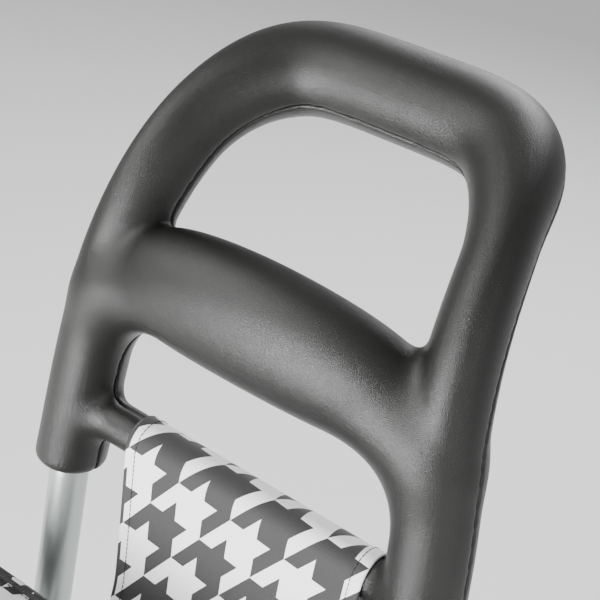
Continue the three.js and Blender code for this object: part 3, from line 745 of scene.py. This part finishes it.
check_cloth = cloth_material("check_fabric", (0.90, 0.90, 0.92), (0.014, 0.014, 0.014), True)
black_webbing = cloth_material("black_webbing", (0, 0, 0), (0.02, 0.02, 0.021), False, pitch=1.6,
                               roughness=0.75, bump=0.0006)
lining_cloth = cloth_material("lining", (0, 0, 0), (0.16, 0.16, 0.165), False, roughness=0.7)
thread_black = plain_material("sewing_thread", (0.02, 0.02, 0.03), 0.8)


def grid_faces(rows, columns):
    """Quads of a grid of points listed row by row."""
    i, j = np.arange(rows - 1)[:, None], np.arange(columns - 1)[None]
    a = i * columns + j
    return np.stack([a, a + 1, a + columns + 1, a + columns], -1).reshape(-1, 4).tolist()


def cloth_piece(name, points, uvs, material, thickness, faces=None, lining=None):
    """A sheet from a grid of leaning millimetres, its cloth map in metres, given a thickness both ways.
    A lined piece is turned outside out first, and the lining covers its inner side."""
    rows, columns = points.shape[:2]
    faces = grid_faces(rows, columns) if faces is None else faces
    piece = put_mesh(name, stand(points.reshape(-1, 3)), faces, uvs.reshape(-1, 2) / 1000)
    dress(piece, material)
    wall = piece.modifiers.new("cloth_thickness", "SOLIDIFY")
    wall.thickness = thickness / 1000
    wall.offset = 0
    if lining:
        piece.data.materials.append(lining)
        piece.data.flip_normals()
        wall.material_offset = 1
    return piece


def along_path(path, spacing):
    """A path of 2-D or 3-D points resampled at even spacing; also gives each sample's distance."""
    path = np.asarray(path, float)
    reach = walked(path)
    even = np.linspace(0, reach[-1], max(int(reach[-1] / spacing), 4) + 1)
    return np.stack([np.interp(even, reach, path[:, k]) for k in range(path.shape[1])], -1), even


def rounded_path(path, spacing=1.5, passes=30):
    """An even path whose corners are eased by repeated three-point averaging."""
    line, _ = along_path(path, spacing)
    for _ in range(passes):
        line[1:-1] = line[:-2] * 0.25 + line[1:-1] * 0.5 + line[2:] * 0.25
    return line


def stitches(name, path, body, pitch=3.2, length=2.3, thick=0.32, colour=None):
    """Thread along a path of leaning millimetres: each stitch is a six-sided spindle, all in one mesh."""
    line, reach = along_path(path, 0.5)
    starts = np.arange(pitch / 2, reach[-1] - length, pitch)
    share = np.linspace(0, 1, 5)
    angle = np.linspace(0, 2 * math.pi, 6, endpoint=False)
    at = starts[:, None] + share[None] * length
    centre = np.stack([np.interp(at, reach, line[:, k]) for k in range(3)], -1)
    heading = unit_rows(centre[:, -1] - centre[:, 0])
    helper = np.where(np.abs(heading[:, :1]) > 0.8, [[0, 0, 1.0]], [[1.0, 0, 0]])
    across = unit_rows(np.cross(heading, helper))
    up = np.cross(heading, across)
    swell = thick * np.sqrt(np.maximum(1 - (2 * share - 1) ** 2, 0.05))
    ring = np.cos(angle)[:, None, None] * across + np.sin(angle)[:, None, None] * up
    points = centre[:, :, None] + swell[None, :, None, None] * ring.transpose(1, 0, 2)[:, None]
    first_corner = (np.arange(len(starts)) * 30)[:, None, None]
    faces = np.array(ring_faces(5, 6))[None] + first_corner
    caps = np.array([[5, 4, 3, 2, 1, 0], [24, 25, 26, 27, 28, 29]])[None] + first_corner
    every = faces.reshape(-1, 4).tolist() + caps.reshape(-1, 6).tolist()
    piece = put_mesh(name, stand(points.reshape(-1, 3)), every)
    dress(piece, colour or thread_black)
    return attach(piece, body)


# ---- Hanging sleeve ----
# One strip of check cloth, hemmed down both sides, sewn to the bag's back, passed over the lower bar and
# stitched to itself just below.
SLEEVE_HALF, SLEEVE_THICK = 70, 0.9
SLEEVE_SHIFT = 9
SLEEVE_RADIUS = LOWER_BAR_RADIUS + 0.9
HEM_WIDE = 6.4
over_bar = np.radians(np.linspace(187, -18, 40))
sleeve_line = [(-28.4, 613), (-28.4, 640), (-24, 656), (-14, 676), (-10.4, 694), (-10.4, 720)]
sleeve_line += [(SLEEVE_RADIUS * math.cos(a), BAR_UP + SLEEVE_RADIUS * math.sin(a)) for a in over_bar]
sleeve_line += [(-1.0, 737), (-6.6, 719)]
sleeve_line = rounded_path(sleeve_line, 1.2, 16)
sleeve_reach = walked(sleeve_line)
front_part = sleeve_line[:, 1].argmax()
off_grain = 0.085
pattern_x, pattern_drop = -26.5, 2.9
pattern_start = np.interp(BAR_UP - pattern_drop, sleeve_line[:front_part, 1], sleeve_reach[:front_part])


def sleeve_surface(across, proud=0.0):
    """Points on the sleeve for columns at the given x: the path's point moved out along its normal by the
    doubled hem near each side and a slow ripple that dies out on the bar, and drawn together a little
    towards the right as it falls."""
    x = across[:, None]
    step = unit_rows(np.gradient(sleeve_line, axis=0))
    outward = np.stack([-step[:, 1], step[:, 0]], -1)
    before_bar = np.arange(len(sleeve_line)) < front_part
    fall = ((BAR_UP - sleeve_line[:, 1]).clip(0, 130) * before_bar)[None]
    waves = np.sin(x / 17 + 0.6) * np.sin(fall / 31) + 0.6 * np.sin(x / 41)
    ripple = 0.6 * (fall / 60).clip(0, 1) * waves
    hem = 0.45 * (1 / (1 + np.exp(-(np.abs(x) - (SLEEVE_HALF - HEM_WIDE)) / 0.5)))
    lift = ripple + hem + proud
    y = sleeve_line[None, :, 0] + lift * outward[None, :, 0]
    z = sleeve_line[None, :, 1] + lift * outward[None, :, 1]
    gathered = x + SLEEVE_SHIFT + fall * (0.03 - 0.0006 * (x + SLEEVE_SHIFT))
    return np.stack([gathered, y, z], -1)


sleeve_columns = np.linspace(-SLEEVE_HALF, SLEEVE_HALF, 121)
sleeve_points = sleeve_surface(sleeve_columns)
pattern_across = sleeve_columns[:, None] + SLEEVE_SHIFT - pattern_x
sleeve_map = np.stack(np.broadcast_arrays(
    pattern_across, pattern_start - sleeve_reach[None] - off_grain * pattern_across), -1)
sleeve = cloth_piece("sleeve_cloth", sleeve_points, sleeve_map, check_cloth, SLEEVE_THICK)
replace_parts(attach(sleeve, "frame"), "hanging_sleeve")
side_stitch = SLEEVE_HALF - HEM_WIDE + 0.4
for side, sign in (("left", -1), ("right", 1)):
    seam = sleeve_surface(np.array([sign * side_stitch]), SLEEVE_THICK / 2 + 0.1)[0]
    stitches(f"sleeve_seam_{side}", seam, "frame", 2.45, 2.3, 0.25)


# ---- Bag ----
# A soft sack of the same cloth on a stiff base board. It hangs from its hemmed rim and its tube loops,
# so its walls belly out between the corners and crease where the weight pulls.
BAG_HALF, BAG_BACK, BAG_FRONT = 176, -30, -262
BAG_BOTTOM, BAG_TOP = 13, 652
BAG_CORNER = 48
BAG_FOOT_ROUND = 12
RIM_HELD, FOOT_HELD = 14, 10
HANG_FRAMES, BAG_PRESSURE, BAG_SHIFT = 14, 1.5, 7
CLOTH_THICK = 1.4


def rounded_outline(half, back, front, corner, count):
    """A closed rectangle with round corners, walked evenly from the middle of the back: points, outward
    normals and distance walked."""
    turn = np.linspace(0, math.pi / 2, 16)
    centres = [(half - corner, back - corner, math.pi / 2), (half - corner, front + corner, 0),
               (-half + corner, front + corner, -math.pi / 2), (-half + corner, back - corner, math.pi)]
    line = [np.array([[0, back]])]
    for x, y, start in centres:
        angle = start - turn
        line.append(np.stack([x + corner * np.cos(angle), y + corner * np.sin(angle)], -1))
    line.append(np.array([[0, back]]))
    line = np.concatenate(line)
    reach = np.concatenate([[0], np.cumsum(np.hypot(*np.diff(line, axis=0).T))])
    even = np.linspace(0, reach[-1], count + 1)
    points = np.stack([np.interp(even, reach, line[:, k]) for k in range(2)], -1)
    step = np.roll(points[:-1], -1, 0) - np.roll(points[:-1], 1, 0)
    step = np.concatenate([step, step[:1]])
    normal = unit_rows(np.stack([-step[:, 1], step[:, 0]], -1))
    return points, normal, even


def bag_wall(points, normal, reach, levels):
    """Wall points for each level: the outline moved by a belly that is widest at mid height and fades at
    the back, by creases that run down from the rim near the corners, and drawn in just under the rim."""
    height = (levels - BAG_BOTTOM) / (BAG_TOP - BAG_BOTTOM)
    x, y = points[:, 0], points[:, 1]
    depth = np.clip((BAG_BACK - y) / (BAG_BACK - BAG_FRONT), 0, 1)
    away = np.clip(depth * 6, 0, 1)[:, None]
    flatness = np.abs(normal).max(1)[:, None] ** 6
    belly = 9 * np.sin(math.pi * np.clip(height, 0, 1))[None] ** 0.8 * flatness - 5
    lower_fold = 3.0 * np.exp(-((height - 0.12) / 0.05) ** 2)[None] * np.sin(reach / 46)[:, None]
    from_rim = np.exp(-((1 - height) / 0.35))[None]
    from_foot = np.exp(-(height / 0.3))[None]
    crease = (1.6 * np.sin(reach / 19 + 1.3 * np.sin(reach / 61))[:, None] * from_rim
              + 1.9 * np.sin(reach / 27 + 2.0)[:, None] * from_foot
              + 1.5 * np.sin(reach[:, None] / 74 + height[None] * 9 + 0.7))
    out = away * (belly + lower_fold + crease) - (1 - away) * 1.4
    out = out * np.clip(height * 12, 0.15, 1)[None]
    moved = points[:, None] + out[..., None] * normal[:, None]
    return np.concatenate([moved, np.broadcast_to(levels[None, :, None], (*out.shape, 1))], -1)


bag_outline, bag_normal, bag_reach = rounded_outline(
    BAG_HALF - 1, BAG_BACK - 1, BAG_FRONT + 1, BAG_CORNER, 300)
bag_levels = np.linspace(BAG_BOTTOM + BAG_FOOT_ROUND, BAG_TOP - 0.5, 128)
wall_points = bag_wall(bag_outline, bag_normal, bag_reach, bag_levels)
rim_turn = np.linspace(0, math.pi / 2, 7)[:-1]
foot_rings = []
for share in np.linspace(0.02, 1, 14)[:-1]:
    ring = bag_outline * share + (1 - share) * np.array([0, (BAG_BACK + BAG_FRONT) / 2])
    floor_level = np.full((len(ring), 1), BAG_BOTTOM + 0.8)
    foot_rings.append(np.concatenate([ring - bag_normal * (BAG_FOOT_ROUND * share), floor_level], 1))
for turn in rim_turn:
    ring = bag_outline - bag_normal * BAG_FOOT_ROUND * (1 - math.sin(turn))
    level = BAG_BOTTOM + BAG_FOOT_ROUND - 11.2 * math.cos(turn)
    foot_rings.append(np.concatenate([ring, np.full((len(ring), 1), level)], 1))
bag_points = np.concatenate([np.stack(foot_rings, 1), wall_points], 1)
side_column = 75
map_down = walked(bag_points[side_column])
bag_map = np.stack(np.broadcast_arrays(bag_reach[:, None] + 11, -map_down[None]), -1)
bag_faces = [face[::-1] for face in grid_faces(*bag_points.shape[:2])]
bag = cloth_piece("bag_cloth", bag_points, bag_map, check_cloth, CLOTH_THICK, bag_faces, lining_cloth)


def hang_cloth(piece, held, frames, pressure, cap):
    """A cloth run on a sheet's own grid, with gravity and a little pressure; held is each point's pin
    weight, and no point moves further than cap millimetres. The result goes into the mesh."""
    thickness = piece.modifiers["cloth_thickness"]
    thickness.show_viewport = False
    pins = piece.vertex_groups.new(name="held")
    for level in np.unique(np.round(held, 2)):
        members = np.flatnonzero(np.round(held, 2) == level)
        pins.add(members.tolist(), float(level), "REPLACE")
    cloth = piece.modifiers.new("hang", "CLOTH")
    piece.modifiers.move(1, 0)
    settings = cloth.settings
    settings.quality = 6
    settings.mass = 0.25
    settings.tension_stiffness = settings.compression_stiffness = 40
    settings.shear_stiffness = 20
    settings.bending_stiffness = 0.8
    settings.vertex_group_mass = "held"
    settings.use_pressure = pressure != 0
    settings.uniform_pressure_force = pressure
    cloth.collision_settings.use_self_collision = False
    cloth.collision_settings.use_collision = False
    cloth.point_cache.frame_start = 1
    cloth.point_cache.frame_end = frames
    scene = bpy.context.scene
    for number in range(1, frames + 1):
        scene.frame_set(number)
    settled = piece.evaluated_get(bpy.context.evaluated_depsgraph_get()).to_mesh()
    moved = np.empty(len(piece.data.vertices) * 3)
    settled.vertices.foreach_get("co", moved)
    start = np.empty_like(moved)
    piece.data.vertices.foreach_get("co", start)
    shift = (moved - start).reshape(-1, 3)
    distance = np.linalg.norm(shift, axis=1)[:, None] + 1e-9
    limit = cap / 1000
    shift *= limit * np.tanh(distance / limit) / distance
    piece.modifiers.remove(cloth)
    scene.frame_set(1)
    piece.data.vertices.foreach_set("co", start + shift.ravel())
    piece.data.update()
    piece.vertex_groups.clear()
    thickness.show_viewport = True


level_height = bag_points[:, :, 2]
near_back = np.clip(1 - (BAG_BACK - bag_points[:, :, 1]) / 14, 0, 1)
rim_hold = (level_height > BAG_TOP - RIM_HELD) | (level_height < BAG_BOTTOM + FOOT_HELD)
bag_hold = np.where(rim_hold, 1.0, np.where(near_back > 0.3, 0.9, 0.02))
hang_cloth(bag, bag_hold.ravel(), HANG_FRAMES, BAG_PRESSURE, BAG_SHIFT)
weld = bag.modifiers.new("close_seam", "WELD")
weld.merge_threshold = 0.0004
bag.modifiers.move(1, 0)
TAPE_SQUARENESS = 0.3


def flatten(piece):
    """The piece gets its own copy of its mesh."""
    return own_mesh(piece)


def folds_flat(piece, node=None):
    """A soft piece of the bag: it rides on the frame, stands for its made part when one is given, and gets
    its own mesh copy.
    """
    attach(piece, "frame")
    if node:
        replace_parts(piece, node)
    return flatten(piece)


folds_flat(bag, "bag_body")


def webbing(name, path, half, thick):
    """Flat tape along a path of leaning millimetres: a superellipse section, wide across X and thin, with
    a cloth map that runs along it."""
    line = rounded_path(path, 3.0, 6)
    angle = np.linspace(0, 2 * math.pi, 40, endpoint=False)
    c, s = np.cos(angle), np.sin(angle)
    wide = half * signed_power(c, TAPE_SQUARENESS)
    deep = thick / 2 * signed_power(s, TAPE_SQUARENESS)
    step = unit_rows(np.gradient(line, axis=0))
    across = np.array([1.0, 0, 0])
    up = unit_rows(np.cross(step, across))
    rings = line[:, None] + wide[None, :, None] * across + deep[None, :, None] * up[:, None]
    tape_map = np.stack(np.broadcast_arrays(wide[None], walked(line)[:, None]), -1)
    faces = capped_faces(len(line), 40)
    piece = put_mesh(name, stand(rings.reshape(-1, 3)), faces, tape_map.reshape(-1, 2) / 1000)
    return dress(piece, black_webbing)


def binding(name, path, wide, thick, closed):
    """Folded binding tape round a cloth edge: a rounded section carried along a path, map included."""
    line = np.asarray(path, float)
    step = unit_rows(np.gradient(line, axis=0))
    upright = unit_rows(np.array([0, 0, 1.0]) - step * step[:, 2:3])
    outward = np.cross(step, upright)
    angle = np.linspace(0, 2 * math.pi, 20, endpoint=False)
    c, s = np.cos(angle), np.sin(angle)
    rise = wide / 2 * signed_power(s, 0.5)
    deep = thick / 2 * signed_power(c, 0.7)
    rings = line[:, None] + rise[None, :, None] * upright[:, None] + deep[None, :, None] * outward[:, None]
    tape_map = np.stack(np.broadcast_arrays(walked(line)[:, None], rise[None]), -1)
    faces = ring_faces(len(line), 20, closed=True) if closed else capped_faces(len(line), 20)
    piece = put_mesh(name, stand(rings.reshape(-1, 3)), faces, tape_map.reshape(-1, 2) / 1000)
    return dress(piece, black_webbing)


rim_line = wall_points[:-1, -1] + np.array([0, 0, -4.0])
rim_tape = binding("bag_rim_tape", rim_line, 9, 2.8, True)
folds_flat(rim_tape)
foot_line = bag_outline[:-1] - bag_normal[:-1] * 1.0
foot_line = np.concatenate([foot_line, np.full((len(foot_line), 1), BAG_BOTTOM + 11)], 1)
folds_flat(binding("bag_foot_piping", foot_line, 3.4, 3.4, True))
outward_3d = np.concatenate([bag_normal[:-1], np.zeros((len(rim_line), 1))], 1)
rim_stitch_line = rim_line + outward_3d * 1.5 + np.array([0, 0, -3.2])
folds_flat(stitches("bag_rim_stitch", rim_stitch_line, "frame", 3.4, 2.5, 0.3))

board_white = grained_material(
    "base_board", (0.55, 0.54, 0.50), (0.64, 0.63, 0.59), 0.6, 0.06, 300, 0.0001)
board = softened("base_board", "bag_base_board", 0.0008, "frame", board_white)
board.modifiers["round_off"].harden_normals = False
flatten(board)


# ---- Lid ----
# A padded flap of check cloth, bound in black tape. It covers the bag's mouth like a shallow cap, turns
# about its back edge and closes with a webbing strap.
LID_HALF, LID_BACK, LID_FRONT = 186, -31.5, -272
LID_TOP, LID_SKIRT_END = 680, 604
LID_EDGE, LID_PLAN_CORNER = 26, 56
LID_THICK, LID_TOP_ROOM = 4.0, 4
LID_PRESSURE, LID_SHIFT = -2.0, 5


def lid_surface(over_x, over_y):
    """The flap over a flat cloth: inside an inner rectangle it lies flat; past it, at distance d, it goes
    on flat, turns down round an arc and hangs straight. A shallow crown lifts its middle."""
    inner_half = LID_HALF - LID_PLAN_CORNER
    inner_front = LID_FRONT + LID_PLAN_CORNER
    dx = np.sign(over_x) * np.maximum(np.abs(over_x) - inner_half, 0)
    dy = np.minimum(over_y - inner_front, 0)
    d = np.maximum(np.abs(dx), np.abs(dy))
    size = np.hypot(dx, dy) + 1e-9
    flat_run = LID_PLAN_CORNER - LID_EDGE
    turn = np.clip((d - flat_run) / LID_EDGE, 0, math.pi / 2)
    out = np.minimum(d, flat_run) + LID_EDGE * np.sin(turn)
    down = LID_EDGE * (1 - np.cos(turn)) + np.maximum(d - flat_run - LID_EDGE * math.pi / 2, 0)
    x = np.clip(over_x, -inner_half, inner_half) + out * dx / size
    y = np.maximum(over_y, inner_front) + out * dy / size
    forward = (y - LID_BACK) / (LID_FRONT - LID_BACK)
    crown = 3.5 * np.cos(x / LID_HALF * math.pi / 2) * np.sin(forward * math.pi)
    quilt = 0.9 * np.sin(x / 29 + 0.4) * np.sin(y / 23) + 0.7 * np.sin(x / 13 + y / 31)
    top_share = np.clip(1 - down / 20, 0, 1)
    hanging = np.clip(down / 40, 0, 1)
    wave = hanging * (2.0 * np.sin(over_x / 25) + 1.6 * np.sin(over_y / 21 + 1))
    x = x + wave * dx / size
    y = y + wave * dy / size
    z = LID_TOP - LID_TOP_ROOM - down + top_share * (crown + quilt)
    return np.stack([x, y, z], -1)


skirt_run = LID_TOP - LID_TOP_ROOM - LID_EDGE - LID_SKIRT_END - 2
cloth_run = LID_PLAN_CORNER - LID_EDGE + LID_EDGE * math.pi / 2 + skirt_run
lid_x = np.linspace(-(LID_HALF - LID_PLAN_CORNER) - cloth_run, LID_HALF - LID_PLAN_CORNER + cloth_run, 150)
lid_y = np.linspace(LID_FRONT + LID_PLAN_CORNER - cloth_run, LID_BACK, 96)
lid_map_x, lid_map_y = np.meshgrid(lid_x, lid_y, indexing="ij")
lid_points = lid_surface(lid_map_x, lid_map_y)
lid_map = np.stack([lid_map_x + 7, -lid_map_y], -1)
lid_cloth = cloth_piece("lid_cloth", lid_points, lid_map, check_cloth, LID_THICK, None, lining_cloth)
rows, columns = lid_points.shape[:2]
lid_edge = np.zeros((rows, columns), bool)
lid_edge[[0, -1]] = True
lid_edge[:, [0, -1]] = True
lid_hold = np.where(lid_edge, 1.0, np.where(lid_points[:, :, 2] < 640, 0.5, 0.02))
hang_cloth(lid_cloth, lid_hold.ravel(), HANG_FRAMES, LID_PRESSURE, LID_SHIFT)
hem_path = np.concatenate([lid_points[0, ::-1], lid_points[1:-1, 0], lid_points[-1]])
lid_tape = binding("lid_tape", hem_path + np.array([0, 0, 1.0]), 7, 5.6, False)
hinge_tape = webbing("lid_hinge_tape", lid_points[::6, -1] + np.array([0, -3, 0]), 3.4, 5.4)
seam_rise = np.array([0, 0, LID_THICK / 2 + 0.2])
lid_seam_path = lid_surface(lid_x, np.full(len(lid_x), LID_BACK - 9.0)) + seam_rise
lid_seam = stitches("lid_back_seam", lid_seam_path[8:-8], "lid", 3.2, 2.4, 0.3)
for piece in (lid_cloth, lid_tape, hinge_tape):
    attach(piece, "lid")
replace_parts(lid_cloth, "lid")
for piece in (lid_cloth, lid_tape, hinge_tape, lid_seam):
    flatten(piece)

STRAP_HALF, STRAP_THICK = 19, 2.2
strap_upper = LID_FRONT - 1.4
strap_lower = BAG_FRONT - 3.3
strap_line = [[0, strap_upper - 1.2, 648], [0, strap_upper - 1.2, 601],
              [0, strap_lower - 2, 580], [0, strap_lower - 2, 518]]
strap = webbing("lid_strap_tape", strap_line, STRAP_HALF, STRAP_THICK)
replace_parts(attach(strap, "lid"), "lid_strap")
flatten(strap)
hook_pad = webbing("hook_pad", [[0, BAG_FRONT - 1.1, 578], [0, BAG_FRONT - 1.1, 522]], STRAP_HALF, 1.6)
folds_flat(hook_pad, "strap_patch")


# ---- Back of the bag ----
# A flat zipped pocket between the tubes, and four loops of webbing that hold the bag to the tubes.
POCKET_HALF, POCKET_LOW, POCKET_HIGH, POCKET_DEPTH = 72, 240, 430, 7
across = np.linspace(-1, 1, 61)[:, None]
upward = np.linspace(-1, 1, 77)[None]
fullness = (1 - np.abs(across) ** 8) * (1 - np.abs(upward) ** 8)
dimple = 0.6 * np.sin(across * 9 + 1) * np.sin(upward * 7)
pocket_y = BAG_BACK + 0.6 + (POCKET_DEPTH - 2.2) * fullness ** 0.6 + dimple * fullness
pocket_points = np.stack(np.broadcast_arrays(
    across * POCKET_HALF, pocket_y,
    (POCKET_LOW + POCKET_HIGH) / 2 + upward * (POCKET_HIGH - POCKET_LOW) / 2), -1)
pocket_map = np.stack(np.broadcast_arrays(across * POCKET_HALF + 4, -upward * 95 + 9), -1)
pocket_faces = [face[::-1] for face in grid_faces(61, 77)]
pocket = cloth_piece("pocket_cloth", pocket_points, pocket_map, check_cloth, 0.9, pocket_faces)
folds_flat(pocket, "rear_pocket")
zip_up = POCKET_HIGH - 12
zip_face = BAG_BACK + POCKET_DEPTH - 0.9
zip_line = np.stack([np.linspace(-58, 58, 60), np.full(60, zip_face), np.full(60, zip_up)], -1)
folds_flat(binding("zip_tape", zip_line, 13, 0.9, False))
zip_teeth = stitches("zip_teeth", zip_line + np.array([0, 0.7, 0]), "frame", 1.5, 1.1, 0.9, zinc)
folds_flat(zip_teeth, None)
softened("zip_pull_tab", "zip_pull", 0.0007, "frame", zinc)
for side in ("left", "right"):
    for level in ("lower", "upper"):
        loop = softened(f"{side}_{level}_loop", f"tube_loop_{side}_{level}", 0.0004, "frame",
                        black_webbing)
        if not loop.data.uv_layers:
            loop.data.uv_layers.new(name="cloth")
